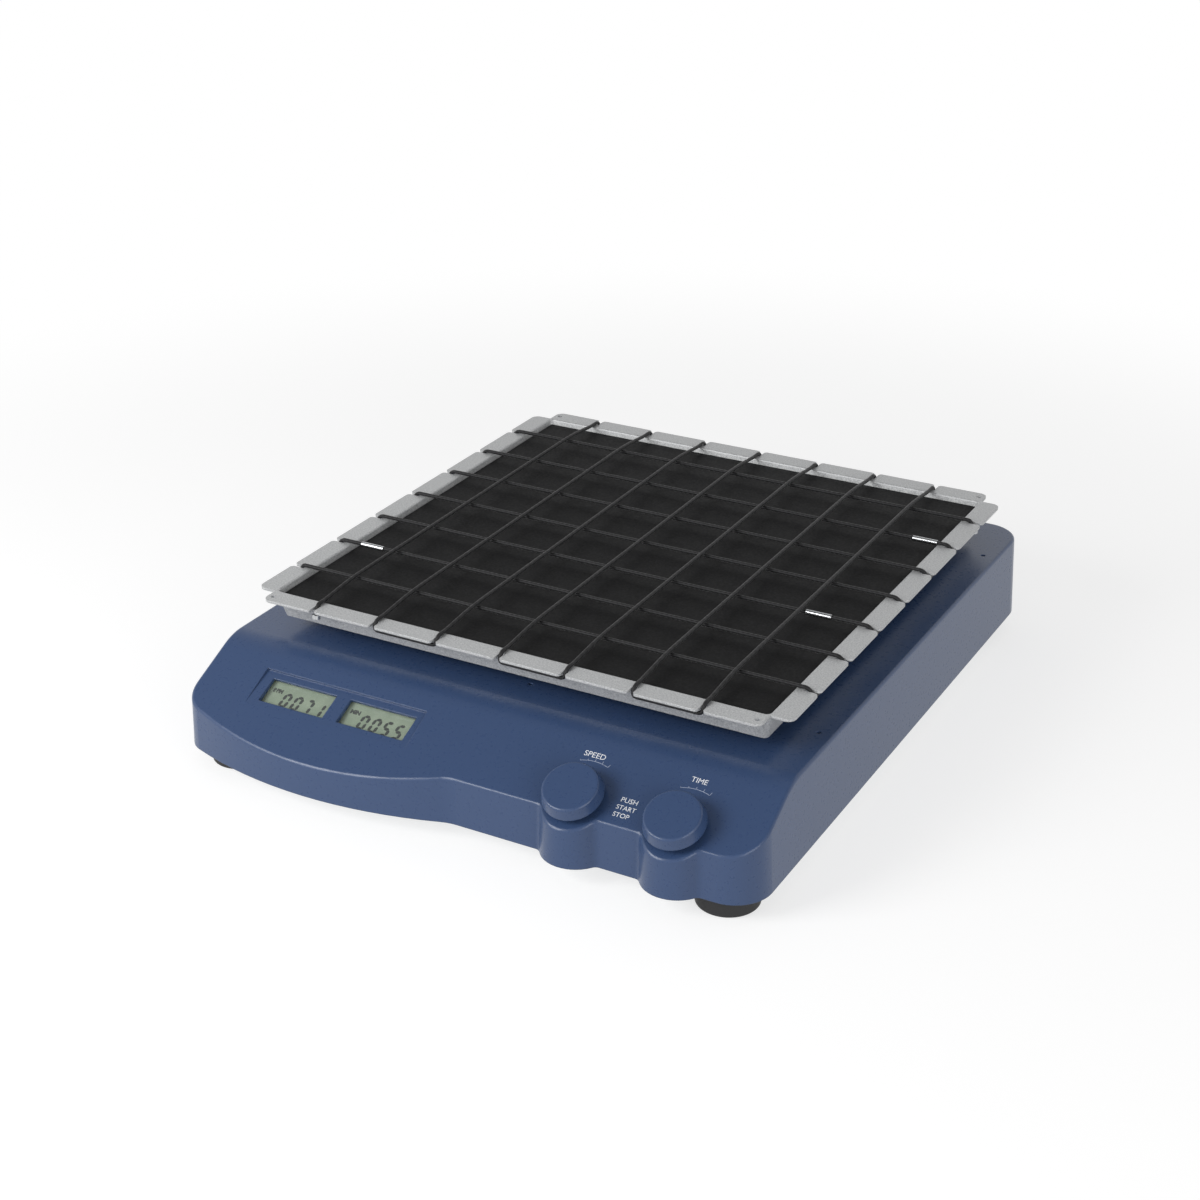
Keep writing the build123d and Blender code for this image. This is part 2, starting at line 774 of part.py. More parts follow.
def make_drive():
    """Bearing housing, crank shaft, driven pulley and counterweight on the drive axis."""
    height = drive_housing_height
    seat_low = bearing_lip
    seat_high = seat_low + ball_bearing_width + drive_bearing_spacing
    housing = disc(drive_housing_radius, height) + disc(drive_flange_radius, housing_flange_thickness)
    housing -= disc(ball_bearing_radius - bearing_lip, height, z=seat_low)
    housing -= disc(ball_bearing_radius, ball_bearing_width, z=seat_low)
    housing -= disc(ball_bearing_radius, height, z=seat_high)
    housing = Pos(0, drive_y, base_top) * housing
    for x, y, thickness in frame_screw_places():
        housing -= disc(frame_screw_radius, housing_flange_thickness, x, y, base_top)
    save("drive_bearing_housing", housing)

    outers = []
    inners = []
    for seat in (seat_low, seat_high):
        outer, inner = bearing_rings(drive_shaft_radius, ball_bearing_width, 0, drive_y, base_top + seat)
        outers.append(outer)
        inners.append(inner)
    save("drive_bearing_outer_rings", *outers)
    save("drive_bearing_inner_rings", *inners)

    head_bottom = crank_top - crank_head_thickness
    shaft_bottom = base_top + seat_low
    crank = disc(drive_shaft_radius, head_bottom - shaft_bottom, 0, drive_y, shaft_bottom)
    crank += disc(crank_head_radius, crank_head_thickness, 0, drive_y, head_bottom)
    crank += disc(crank_pin_radius, pin_top - crank_top, 0, tray_y, crank_top)
    save("crank_shaft", crank)

    pulley = flanged_pulley(drive_pulley_radius)
    pocket = ring(drive_pulley_radius - pulley_rim, pulley_hub_radius, pulley_height, z=pulley_web)
    pulley -= pocket
    pulley -= disc(pulley_hub_radius, crank_head_thickness, z=pulley_height - crank_head_thickness)
    pulley -= disc(drive_shaft_radius, pulley_height)
    weight_outer = drive_pulley_radius - pulley_rim - counterweight_gap
    weight_inner = pulley_hub_radius + counterweight_gap
    weight = ring(weight_outer, weight_inner, counterweight_height, z=pulley_web)
    weight -= block(2 * weight_outer, weight_outer, counterweight_height, 0, weight_outer / 2, pulley_web)
    screws = []
    screw_pitch = (weight_outer + weight_inner) / 2
    for turn in (-135, -45):
        angle = math.radians(turn)
        x, y = screw_pitch * math.cos(angle), screw_pitch * math.sin(angle)
        weight -= disc(frame_screw_radius, counterweight_height, x, y, pulley_web)
        pulley -= disc(frame_screw_radius, pulley_web, x, y)
        screw = Rot(180, 0, 0) * flat_screw(
            frame_screw_radius - thread_clearance,
            pulley_web + counterweight_height,
            frame_screw_head_radius,
        )
        shank = frame_screw_radius - thread_clearance
        sink = frame_screw_head_radius - shank
        pulley -= Pos(x, y, sink / 2) * Cone(frame_screw_head_radius, shank, sink)
        screws.append(Pos(x, y) * screw)
    place = Pos(0, drive_y, pulley_bottom)
    save("drive_pulley", place * pulley)
    save("counterweight", place * weight)
    save("counterweight_screws", *[place * screw for screw in screws])


def make_idlers():
    """Four idler cranks, each in a housing with two plain bushes."""
    height = idler_housing_top - base_top
    housing = disc(idler_boss_radius, height) + disc(idler_flange_radius, housing_flange_thickness)
    housing -= disc(idler_bush_radius, height - bearing_lip, z=bearing_lip)
    bush = ring(idler_bush_radius, idler_pin_radius + running_clearance, idler_bush_length)
    crank_bottom = bearing_lip + running_clearance
    web_top = crank_top - base_top
    web_bottom = web_top - idler_web_thickness
    crank = disc(idler_pin_radius, web_bottom - crank_bottom, z=crank_bottom)
    ends = Circle(idler_web_radius).edges() + (Pos(0, orbit_radius) * Circle(idler_web_radius)).edges()
    crank += Pos(0, 0, web_bottom) * extrude(make_hull(ends), amount=idler_web_thickness)
    crank += disc(idler_pin_radius, pin_top - crank_top, 0, orbit_radius, web_top)
    names = ("front_left", "front_right", "rear_left", "rear_right")
    housings = []
    bushes = []
    for name, (x, y) in zip(names, idler_places()):
        place = Pos(x, y, base_top)
        one = place * housing
        for screw_x, screw_y, thickness in frame_screw_places():
            one -= disc(frame_screw_radius, housing_flange_thickness, screw_x, screw_y, base_top)
        housings.append(one)
        for z in (bearing_lip, height - idler_bush_length):
            bushes.append(place * Pos(0, 0, z) * bush)
        save("idler_crank_" + name, place * crank)
    save("idler_housings", *housings)
    save("idler_bushes", *bushes)


def make_carrier():
    """Cross-shaped carrier that the cranks swing, with its bearings, posts and splash discs."""
    arm_length = 2 * (math.sqrt(2) * post_spread + post_radius + disc_overlap)
    arm = SlotOverall(arm_length + carrier_arm_width / 2, carrier_arm_width)
    arm = extrude(arm, amount=carrier_thickness)
    plate = Rot(0, 0, 45) * arm + Rot(0, 0, -45) * arm
    plate += disc(carrier_hub_radius, hub_height)
    plate -= disc(ball_bearing_radius, hub_height)
    bush_places = [(sx * idler_spread, sy * idler_spread) for sx, sy in corners]
    bushes = []
    for x, y in bush_places:
        plate += disc(idler_boss_radius, hub_height, x, y)
        plate -= disc(idler_bush_radius, hub_height, x, y)
        bushes.append(ring(idler_bush_radius, idler_pin_radius + running_clearance, hub_height, x, y))
    for x, y in post_places(0):
        plate -= disc(post_spigot_radius, carrier_thickness, x, y)
    place = Pos(0, tray_y, carrier_bottom)
    save("carrier_plate", place * plate)
    save("carrier_bushes", *[place * bush for bush in bushes])

    ring_bottom = carrier_bottom + headroom / 2
    outer, inner = bearing_rings(crank_pin_radius, hub_height - headroom, 0, tray_y, ring_bottom)
    save("crank_pin_outer_ring", outer)
    save("crank_pin_inner_ring", inner)

    post = disc(post_radius, tray_underside - carrier_top, z=carrier_top)
    post += disc(post_spigot_radius, carrier_thickness, z=carrier_bottom)
    post -= disc(tray_screw_radius, tray_screw_length, z=tray_underside - tray_screw_length)
    splash = ring(disc_radius, post_radius, disc_thickness, z=casing_top + disc_gap)
    save("carrier_posts", *[Pos(x, y) * post for x, y in post_places(tray_y)])
    save("splash_discs", *[Pos(x, y) * splash for x, y in post_places(tray_y)])


def slot_places():
    """The slots' distances from the middle of a side."""
    return [(i - (slot_count - 1) / 2) * slot_pitch for i in range(slot_count)]


def make_tray():
    """Folded sheet tray: a shallow pan with a slotted rim on each side, and its four screws."""
    levels = (
        (tray_floor_half, 0.0, tray_opening_half + tray_sheet, tray_depth),
        (tray_floor_half - tray_sheet, tray_sheet, tray_opening_half, tray_depth),
    )
    pans = []
    for low_half, low_z, high_half, high_z in levels:
        low = Pos(0, 0, low_z) * RectangleRounded(2 * low_half, 2 * low_half, tray_corner_radius)
        high = Pos(0, 0, high_z) * RectangleRounded(2 * high_half, 2 * high_half, tray_corner_radius)
        pans.append(loft([low.face(), high.face()]))
    tray = pans[0] - pans[1]

    rim_end = tray_opening_half + tray_rim_end_gap
    middle = (tray_opening_half + rim_outer) / 2
    rim = Pos(middle, 0) * Rectangle(rim_outer - tray_opening_half, 2 * rim_end)
    for x, y in ((rim_outer, -rim_end), (rim_outer, rim_end)):
        rim = fillet(rim.vertices().sort_by_distance((x, y, 0))[0], rim_end_radius)
    rim = Pos(0, 0, tray_depth - tray_sheet) * extrude(rim, amount=tray_sheet)
    for turn in range(4):
        tray += Rot(0, 0, 90 * turn) * rim

    inner_bend = []
    floor_bend = []
    for edge in tray.edges():
        centre = edge.center()
        reach = max(abs(centre.X), abs(centre.Y))
        if abs(centre.Z - tray_depth) < 0.01 and abs(reach - tray_opening_half) < tray_corner_radius / 2:
            inner_bend.append(edge)
        if abs(centre.Z) < 0.01:
            floor_bend.append(edge)
    tray = fillet(floor_bend, tray_floor_bend_radius)
    tray = fillet(inner_bend, tray_bend_radius)

    slot_root = tray_opening_half + cord_dive - 2 * cord_radius
    slot_length = rim_outer - slot_root
    cutter = Pos(slot_length / 2, 0) * Rectangle(slot_length, slot_width)
    cutter += Pos(1.5 * slot_length, 0) * Rectangle(slot_length, slot_pitch)
    for side in (-1, 1):
        mouth = cutter.vertices().sort_by_distance((slot_length, side * slot_width / 2, 0))[0]
        cutter = fillet(mouth, tab_corner_radius)
    cutter = extrude(cutter, amount=tray_depth)
    cutter = Pos(slot_root, 0, tray_depth - tray_sheet) * cutter
    for turn in range(4):
        for place in slot_places():
            tray -= Rot(0, 0, 90 * turn) * Pos(0, place, 0) * cutter

    hole_x = rim_end - rim_hole_inset
    hole_y = middle + rim_hole_radius / 2
    for sx, sy in corners:
        tray -= disc(rim_hole_radius, tray_depth, sx * hole_x, sy * hole_y)
    screw = pan_screw(
        tray_screw_radius - thread_clearance,
        tray_screw_length,
        tray_screw_head_radius,
        tray_screw_head_height,
    )
    screws = []
    for x, y in post_places(0):
        tray -= disc(tray_screw_radius, tray_sheet, x, y)
        screws.append(Pos(x, y, tray_sheet) * screw)
    place = Pos(0, tray_y, tray_underside)
    save("tray", place * tray)
    save("tray_screws", *[place * one for one in screws])

    mat_half = tray_floor_half - tray_sheet - mat_clearance
    mat = block(2 * mat_half, 2 * mat_half, mat_thickness)
    mat = fillet(mat.edges().filter_by(Axis.Z), tray_corner_radius)
    mat = fillet(mat.faces().sort_by(Axis.Z)[-1].edges(), mat_edge_radius)
    for x, y in post_places(0):
        pocket_radius = tray_screw_head_radius + mat_pocket_clearance
        mat -= disc(pocket_radius, tray_screw_head_height + mat_pocket_clearance, x, y)
    save("rubber_mat", place * Pos(0, 0, tray_sheet) * mat)


def lacing(run_height, crosswise):
    """One elastic cord laced to and fro through the slots, as a swept tube about the tray's middle."""
    slot_height = rim_top + cord_radius + cord_clearance / 2
    under_height = rim_bottom - cord_bend_radius
    dive_out = tray_opening_half + cord_dive
    under_out = dive_out + cord_dive_run
    stop_height = rim_bottom - cord_clearance - stopper_length
    raised = run_height > slot_height
    points = []
    radii = []

    def go(along, out, height, radius):
        point = (out, along, height) if crosswise else (along, out, height)
        points.append(point)
        radii.append(radius)

    def end_of_run(place, side, arriving, at_cord_end):
        steps = []
        if raised:
            steps.append((cord_ramp_in, run_height, cord_ramp_radius))
            steps.append((cord_ramp_out, slot_height, cord_ramp_radius))
        steps.append((dive_out, slot_height, cord_bend_radius))
        if at_cord_end:
            steps.append((dive_out + cord_radius, stop_height, cord_bend_radius))
        else:
            steps.append((under_out, under_height, cord_bend_radius))
        for out, height, radius in steps if arriving else reversed(steps):
            go(place, side * out, height, radius)

    places = slot_places()
    for i, place in enumerate(places):
        start = -1 if i % 2 == 0 else 1
        end_of_run(place, start, False, i == 0)
        end_of_run(place, -start, True, i == len(places) - 1)
    path = FilletPolyline(*points, radius=radii[1:-1])
    profile = Plane(origin=path @ 0, z_dir=path % 0) * Circle(cord_radius)
    tube = sweep(profile, path=path)
    volume_ratio = tube.volume / path.length / profile.area
    print("cord length", round(path.length, 1), "volume ratio", round(volume_ratio, 4))
    ends = [Plane(origin=path @ t, z_dir=(path % t) * (1 if t == 0 else -1)) for t in (0, 1)]
    return tube, ends


def make_lacing():
    """Both elastic cords, their crimped splices and the stoppers at their ends."""
    low = rim_top + cord_radius + cord_clearance / 2
    high = low + 2 * cord_radius + cord_clearance
    place = Pos(0, tray_y)
    sleeves = []
    for node, height, crosswise in (("crosswise_cord", low, True), ("lengthwise_cord", high, False)):
        tube, ends = lacing(height, crosswise)
        save(node, place * tube)
        for end in ends:
            sleeves.append(place * (end.location * ring(stopper_radius, cord_radius, stopper_length / 2)))
    splice = ring(ferrule_radius, cord_radius, ferrule_length, z=-ferrule_length / 2)
    splice = Rot(0, 90, 0) * splice
    splice_out = tray_opening_half - ferrule_length / 2
    row = slot_pitch
    left_splice = ferrule_length / 2 - splice_out
    for x, y in ((splice_out, 2 * row), (splice_out - ferrule_length, -row), (left_splice, -2 * row)):
        sleeves.append(place * Pos(x, y, low) * splice)
    save("cord_ferrules", *sleeves)


def make_power_entry():
    """Power inlet with its blades, and the rocker switch, in the rear wall."""
    flange_face = rear_flange_thickness
    inlet = Pos(0, -inlet_depth / 2, 0) * Box(inlet_width, inlet_depth, inlet_height)
    inlet += Pos(0, rear_flange_thickness / 2, 0) * Box(
        2 * inlet_side, rear_flange_thickness, inlet_height + 2 * inlet_flange_lap
    )
    cavity = Box(socket_width, socket_depth, socket_height)
    cavity = fillet(cavity.edges().filter_by(Axis.Y), rear_flange_thickness)
    floor_y = flange_face - socket_depth
    inlet -= Pos(0, flange_face - socket_depth / 2, 0) * cavity
    blade = Box(inlet_pin_width, inlet_pin_length, inlet_pin_height)
    blade = fillet(blade.faces().sort_by(Axis.Y)[-1].edges(), inlet_pin_width / 5)
    blade_y = floor_y + inlet_pin_length / 2
    half = inlet_pin_spacing / 2
    blades = [
        Pos(-half, blade_y, -inlet_pin_offset) * blade,
        Pos(half, blade_y, -inlet_pin_offset) * blade,
        Pos(0, blade_y, inlet_pin_offset) * blade,
    ]
    place = Pos(inlet_x, rear_plane, rear_centre_z)
    save("power_inlet", place * inlet)
    save("inlet_blades", *[place * one for one in blades])

    pocket_height = 2 * (rocker_radius + rocker_gap)
    pocket_width = rocker_width + 2 * rocker_gap
    frame = Pos(0, -switch_depth / 2, 0) * Box(switch_width, switch_depth, switch_height)
    flange_height = switch_height + 2 * rear_flange_thickness
    frame += Pos(0, rear_flange_thickness / 2, 0) * Box(
        2 * switch_side, rear_flange_thickness, flange_height
    )
    pivot_y = flange_face - rocker_pivot_depth
    pocket_floor = pivot_y - rocker_radius - rocker_gap
    pocket_depth = flange_face - pocket_floor
    frame -= Pos(0, flange_face - pocket_depth / 2, 0) * Box(pocket_width, pocket_depth, pocket_height)
    pivot = Rot(0, 90, 0) * Cylinder(rocker_pin_radius + running_clearance, switch_width - rocker_gap)
    frame -= Pos(0, pivot_y, 0) * pivot

    side = Polyline(
        (-rocker_radius / 2, -rocker_radius),
        (rocker_radius, -rocker_radius),
        (rocker_valley, 0),
        (rocker_radius, rocker_radius),
        (-rocker_radius / 2, rocker_radius),
        close=True,
    )
    rocker = extrude(make_face(Plane.YZ * side), amount=rocker_width / 2, both=True)
    rocker &= Rot(0, 90, 0) * Cylinder(rocker_radius, rocker_width)
    pin_length = switch_width - 2 * rocker_gap
    rocker += Rot(0, 90, 0) * Cylinder(rocker_pin_radius, pin_length)
    rocker = Rot(-rocker_tilt, 0, 0) * rocker
    place = Pos(switch_x, rear_plane, rear_centre_z)
    save("power_switch_frame", place * frame)
    save("power_rocker", place * Pos(0, pivot_y, 0) * rocker)


def make_electronics():
    """Power supply in its metal case, and the control board with its larger components."""
    supply = block(supply_width, supply_length, supply_height)
    supply = fillet(supply.edges().filter_by(Axis.Z), supply_tab_thickness)
    supply += block(supply_width + 2 * supply_tab, supply_length * 0.8, supply_tab_thickness)
    supply = Pos(0, supply_y, base_top) * supply
    for x, y, thickness in frame_screw_places():
        supply -= disc(frame_screw_radius, supply_tab_thickness, x, y, base_top)
    save("power_supply", supply)

    board_z = base_top + board_stud_height
    board = block(control_board_width, control_board_length, board_thickness)
    board = Pos(control_board_x, control_board_y, board_z) * board
    for x, y in board_stud_places():
        board -= disc(small_screw_radius, board_thickness, x, y, board_z)
    save("control_board", board)
    edge_x = control_board_width / 2 - component_edge
    edge_y = control_board_length / 2 - component_edge
    parts = [
        block(chip_size, chip_size, chip_thickness),
        block(terminal_length, component_width, terminal_height, edge_x - terminal_length / 2, edge_y),
        block(component_width, relay_length, relay_height, -edge_x, -edge_y / 2),
        disc(capacitor_radius, capacitor_height, -edge_x / 2, edge_y),
        disc(capacitor_radius, capacitor_height, edge_x, -edge_y),
    ]
    top = Pos(control_board_x, control_board_y, board_z + board_thickness)
    save("board_components", *[top * part for part in parts])


def main():
    os.makedirs("parts", exist_ok=True)
    outline = casing_outline()
    make_top_cover(outline)
    make_base(outline)
    make_frame_screws()
    make_displays()
    make_knobs()
    make_motor()
    make_drive()
    make_idlers()
    make_carrier()
    make_tray()
    make_lacing()
    make_power_entry()
    make_electronics()


main()
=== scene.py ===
"""Looks of the laboratory orbital shaker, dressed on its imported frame.

Metres, in the part's own frame: +Z up, +Y towards the rear, the origin on the bench under the casing.
"""

import json
import math

import bmesh
import bpy
from mathutils import Matrix, Vector


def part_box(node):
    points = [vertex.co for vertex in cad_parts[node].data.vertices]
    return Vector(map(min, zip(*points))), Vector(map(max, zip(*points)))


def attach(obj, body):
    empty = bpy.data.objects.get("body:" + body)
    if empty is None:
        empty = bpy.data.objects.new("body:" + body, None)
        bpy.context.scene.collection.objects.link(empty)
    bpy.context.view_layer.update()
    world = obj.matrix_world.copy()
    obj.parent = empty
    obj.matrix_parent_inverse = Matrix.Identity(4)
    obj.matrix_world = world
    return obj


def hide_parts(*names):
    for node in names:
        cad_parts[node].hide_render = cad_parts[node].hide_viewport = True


MM = 0.001

# Camera at the photograph's viewing angle
camera_azimuth = 29.40
camera_elevation = 25.86
camera_distance = 1213.6 * MM
camera_target = Vector((14.8, -54.8, 89.0)) * MM
camera_roll = -0.59
camera_lens = 62.3
camera_sensor = 36.0

# The sloping control panel, as in the part: a point on its front edge and its slope
panel_origin = Vector((0.0, -199.13, 40.0)) * MM
panel_slope = 26.57
knob_setback = 9.3 * MM
speed_knob_x = 75.0 * MM
time_knob_x = 135.5 * MM
speed_window_x = -115.5 * MM
time_window_x = -61.0 * MM
window_setback = 23.0 * MM
glass_depth = 4.3 * MM

# Elastic lacing, as in the part: about the tray's middle
tray_y = 27.0 * MM
slot_pitch = 42.0 * MM
slot_count = 7
cord_radius = 1.2 * MM
low_height = 90.35 * MM
high_height = 93.05 * MM
under_height = 85.5 * MM
stop_height = 82.2 * MM
dive_out = 167.7 * MM
under_out = 170.5 * MM
stop_out = 168.9 * MM
ramp_out = 158.0 * MM
ramp_in = 132.0 * MM
ramp_lead = 26.0 * MM
bend_lead = 5.6 * MM

# Rubber mat: its edges, how far its top stands out, and the shallow waves of its top
mat_edge_radius = 1.2 * MM
mat_flare = 2.9 * MM
mat_cells = 52
mat_sink = 0.12 * MM
mat_wave_x = 31.0 * MM
mat_wave_y = 43.0 * MM
mat_wave_start = 0.7
mat_ripple = 17.0 * MM
mat_wave_reach = 1.5
mat_pocket_radius = 5.3 * MM
mat_pocket_depth = 3.2 * MM
mat_pocket_sides = 24
post_spread = 120.0 * MM

# Liquid-crystal digits, about the middle of their window
digit_height = 10.6 * MM
digit_width = 5.7 * MM
digit_pitch = 7.9 * MM
digit_first_x = -8.8 * MM
digit_middle = -2.0 * MM
digit_slant = 0.12
segment_width = 1.9 * MM
segment_gap = 0.12 * MM
unit_width = 6.2 * MM
unit_weight = 0.06
unit_x = -20.4 * MM
unit_setback = 1.9 * MM
ink_thickness = 0.05 * MM

# White print on the panel
print_height = 0.03 * MM
print_thickness = 0.04 * MM
dial_radius = 24.6 * MM
dial_half_angle = 20.0
dial_line = 0.3 * MM
dial_steps = 16
dial_ticks = 5
first_tick = 0.5 * MM
tick_growth = 0.35 * MM

# Studio: the paper's size, its veil of light and how far off it turns plain white
paper_size = 8.0
paper_level = -0.3 * MM
paper_near = 0.45
paper_far = 0.95
paper_veil = 0.66
room_light = 0.42
ceiling_light = 0.25
horizon_top = 0.5
ceiling_start = 0.85

# Softboxes: azimuth from the front, elevation, distance, side and watts
key_softbox = (-32, 30, 1.5, 0.7, 13.0)
right_softbox = (55, 12, 1.6, 1.0, 9.0)

# Grain: a noise texture's values lie almost all between these two
grain_low = 0.3
grain_high = 0.7

# Braid of the elastic cord: the width of one light or dark band, and how the bands are turned
braid_band = 1.0 * MM
braid_slant = (0.6, 0.5, 0.785)
wave_factor = 20


def linear(colour):
    """The linear values that a shader takes for an sRGB hex colour."""
    channels = [int(colour[i : i + 2], 16) / 255 for i in (1, 3, 5)]
    return [c / 12.92 if c <= 0.04045 else ((c + 0.055) / 1.055) ** 2.4 for c in channels] + [1.0]


def add_node(tree, kind, inputs=(), **settings):
    """One shader node with its settings, its inputs set to values or linked to other nodes' outputs."""
    node = tree.nodes.new(kind)
    for name, value in settings.items():
        setattr(node, name, value)
    for name, value in dict(inputs).items():
        if isinstance(value, bpy.types.NodeSocket):
            tree.links.new(value, node.inputs[name])
        else:
            node.inputs[name].default_value = value
    return node


def grained(name, dark, light, grain, relief, roughness, spread=0.08, detail=3.0, edge=0.0, **shader):
    """A material whose tone, gloss and relief all follow one grain.

    dark and light are sRGB colours, and grain and relief are the pattern's size and depth in millimetres.
    roughness varies by spread to either side, edge is the radius in millimetres to which sharp edges are
    softened, and shader names the rest of the Principled shader's sockets.
    """
    material = bpy.data.materials.new(name)
    material.use_nodes = True
    tree = material.node_tree
    tree.nodes.clear()
    place = add_node(tree, "ShaderNodeTexCoord").outputs["Object"]
    pattern = {"Vector": place, "Scale": 1 / (grain * MM), "Detail": detail, "Roughness": 0.55}
    fine = add_node(tree, "ShaderNodeTexNoise", pattern).outputs[0]
    span = {"Value": fine, "From Min": grain_low, "From Max": grain_high}
    share = add_node(tree, "ShaderNodeMapRange", span).outputs[0]
    tones = {0: share, 6: linear(dark), 7: linear(light)}
    tone = add_node(tree, "ShaderNodeMix", tones, data_type="RGBA").outputs[2]
    gloss_span = {**span, "To Min": roughness - spread, "To Max": roughness + spread}
    gloss = add_node(tree, "ShaderNodeMapRange", gloss_span).outputs[0]
    surface = {"Height": fine, "Distance": relief * MM, "Strength": 1.0}
    if edge > 0:
        surface["Normal"] = add_node(tree, "ShaderNodeBevel", {"Radius": edge * MM}, samples=6).outputs[0]
    bump = add_node(tree, "ShaderNodeBump", surface).outputs[0]
    sockets = {"Base Color": tone, "Roughness": gloss, "Normal": bump, **shader}
    principled = add_node(tree, "ShaderNodeBsdfPrincipled", sockets)
    add_node(tree, "ShaderNodeOutputMaterial", {"Surface": principled.outputs[0]})
    return material


def moulded_abs():
    """Blue ABS out of a finely spark-eroded mould: an even satin skin with bright lines along its edges."""
    # The real erosion is about 0.1 mm; it is drawn at 2.4 mm, where it shows as a faint unevenness
    settings = {"edge": 0.9, "Specular IOR Level": 0.4, "IOR": 1.53}
    return grained("moulded_blue_abs", "#35496D", "#374B6E", 2.4, 0.0015, 0.28, 0.01, **settings)


def moulded_black():
    """Black glass-filled nylon, moulded: nearly even and slightly glossy."""
    return grained("moulded_black_nylon", "#141416", "#1E1E20", 0.9, 0.004, 0.38, edge=0.3)


def blasted_aluminium():
    """Aluminium sheet, bead-blasted and anodised: light grey, sparkling in specks, bright at its edges."""
    # Beads of about 0.2 mm leave pits of that size; they are drawn at 0.9 mm so that they show
    settings = {"detail": 4.0, "edge": 0.5, "Metallic": 0.25}
    return grained("bead_blasted_aluminium", "#9A9C9E", "#CDCECE", 0.9, 0.03, 0.42, 0.12, **settings)


def cast_alloy():
    """Die-cast aluminium: a dull light grey skin with flow marks."""
    return grained("die_cast_aluminium", "#8F9193", "#B4B6B8", 3.0, 0.06, 0.5, edge=0.4, Metallic=1.0)


def ground_steel():
    """Ground and polished steel of shafts, rings, sleeves and screws."""
    return grained("ground_steel", "#A6A8AA", "#CCCED0", 0.6, 0.004, 0.24, edge=0.2, Metallic=1.0)


def zinc_plating():
    """Bright zinc on sheet steel: bluish grey with faint spangles."""
    return grained("zinc_plated_steel", "#9DA3A8", "#C2C6C8", 5.0, 0.01, 0.36, Metallic=1.0)


def grey_iron():
    """Cast iron with its rough sand-cast skin, oiled dark."""
    return grained("grey_cast_iron", "#2C2C2E", "#47484A", 1.6, 0.12, 0.62, Metallic=1.0)


def sintered_bronze():
    """Sintered bronze, oily and finely porous."""
    return grained("sintered_bronze", "#8A6A3A", "#B8935A", 0.7, 0.02, 0.4, Metallic=1.0)


def soft_rubber():
    """Black rubber of the feet and the belt: matt, with a faint dusty bloom."""
    return grained("moulded_black_rubber", "#131314", "#222224", 1.5, 0.02, 0.62, 0.1)


def sponge_rubber():
    """Closed-cell rubber of the mat: matt near-black with small open pores, which hold its gloss down."""
    settings = {"detail": 5.0, "Specular IOR Level": 0.12}
    return grained("closed_cell_rubber", "#0B0B0C", "#141415", 1.4, 0.03, 0.6, 0.1, **settings)


def braided_elastic():
    """Rubber cord under a tight braid of black polyester: dark grey with a slanting weave."""
    material = bpy.data.materials.new("braided_elastic_cord")
    material.use_nodes = True
    tree = material.node_tree
    tree.nodes.clear()
    place = add_node(tree, "ShaderNodeTexCoord").outputs["Object"]
    slant = add_node(tree, "ShaderNodeMapping", {"Vector": place, "Rotation": braid_slant}).outputs[0]
    # Braid strands are 0.4 mm wide; the bands are drawn 1 mm wide, which is as fine as the render shows
    scale = math.pi / (wave_factor * braid_band)
    weave = {"Vector": slant, "Scale": scale, "Distortion": 1.5, "Detail": 1.0}
    strands = add_node(tree, "ShaderNodeTexWave", weave).outputs[1]
    tones = {0: strands, 6: linear("#121213"), 7: linear("#202022")}
    tone = add_node(tree, "ShaderNodeMix", tones, data_type="RGBA").outputs[2]
    surface = {"Height": strands, "Distance": 0.05 * MM, "Strength": 1.0}
    bump = add_node(tree, "ShaderNodeBump", surface).outputs[0]
    sockets = {"Base Color": tone, "Normal": bump, "Roughness": 0.55}
    sockets["Specular IOR Level"] = 0.3
    sockets["Sheen Weight"] = 0.15
    sockets["Sheen Roughness"] = 0.4
    principled = add_node(tree, "ShaderNodeBsdfPrincipled", sockets)
    add_node(tree, "ShaderNodeOutputMaterial", {"Surface": principled.outputs[0]})
    return material


def display_glass():
    """Reflective liquid-crystal glass: grey-green, a little lighter where its film is thicker."""
    return grained("liquid_crystal_glass", "#7C8B77", "#8A9884", 9.0, 0.0005, 0.24, 0.03)


def display_ink():
    """A darkened liquid-crystal segment."""
    return grained("dark_liquid_crystal", "#0C1211", "#182120", 0.8, 0.0005, 0.3, 0.03)


def clear_acrylic():
    """Clear cast acrylic pane: thin, so it is drawn as mostly see-through with a polished face."""
    settings = {"Alpha": 0.04, "IOR": 1.49}
    return grained("clear_acrylic", "#DCE4DE", "#EEF3EF", 12.0, 0.0005, 0.06, 0.02, **settings)


def screen_print():
    """White screen-printed ink, with a slightly rough film."""
    return grained("white_screen_print", "#D9DCE2", "#F2F3F5", 0.7, 0.004, 0.5)


def thin_print():
    """The same ink in hairlines, which the blue shows through."""
    return grained("thin_white_print", "#8E99B0", "#A9B2C6", 0.7, 0.004, 0.5)


def solder_mask():
    """Green solder mask on a glass-fibre circuit board, glossy over faint copper lines."""
    return grained("green_solder_mask", "#0F3A20", "#1E5A34", 1.8, 0.01, 0.3)


def panel_place(x, setback, height=0.0):
    """The matrix that sets a flat piece on the panel at a distance up from its front edge."""
    slope = math.radians(panel_slope)
    turn = Matrix.Rotation(slope, 4, "X")
    return Matrix.Translation(panel_origin) @ turn @ Matrix.Translation((x, setback, height))


def add_piece(name, data, material):
    """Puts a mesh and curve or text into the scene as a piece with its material."""
    piece = bpy.data.objects.new(name, data)
    bpy.context.scene.collection.objects.link(piece)
    data.materials.append(material)
    return piece


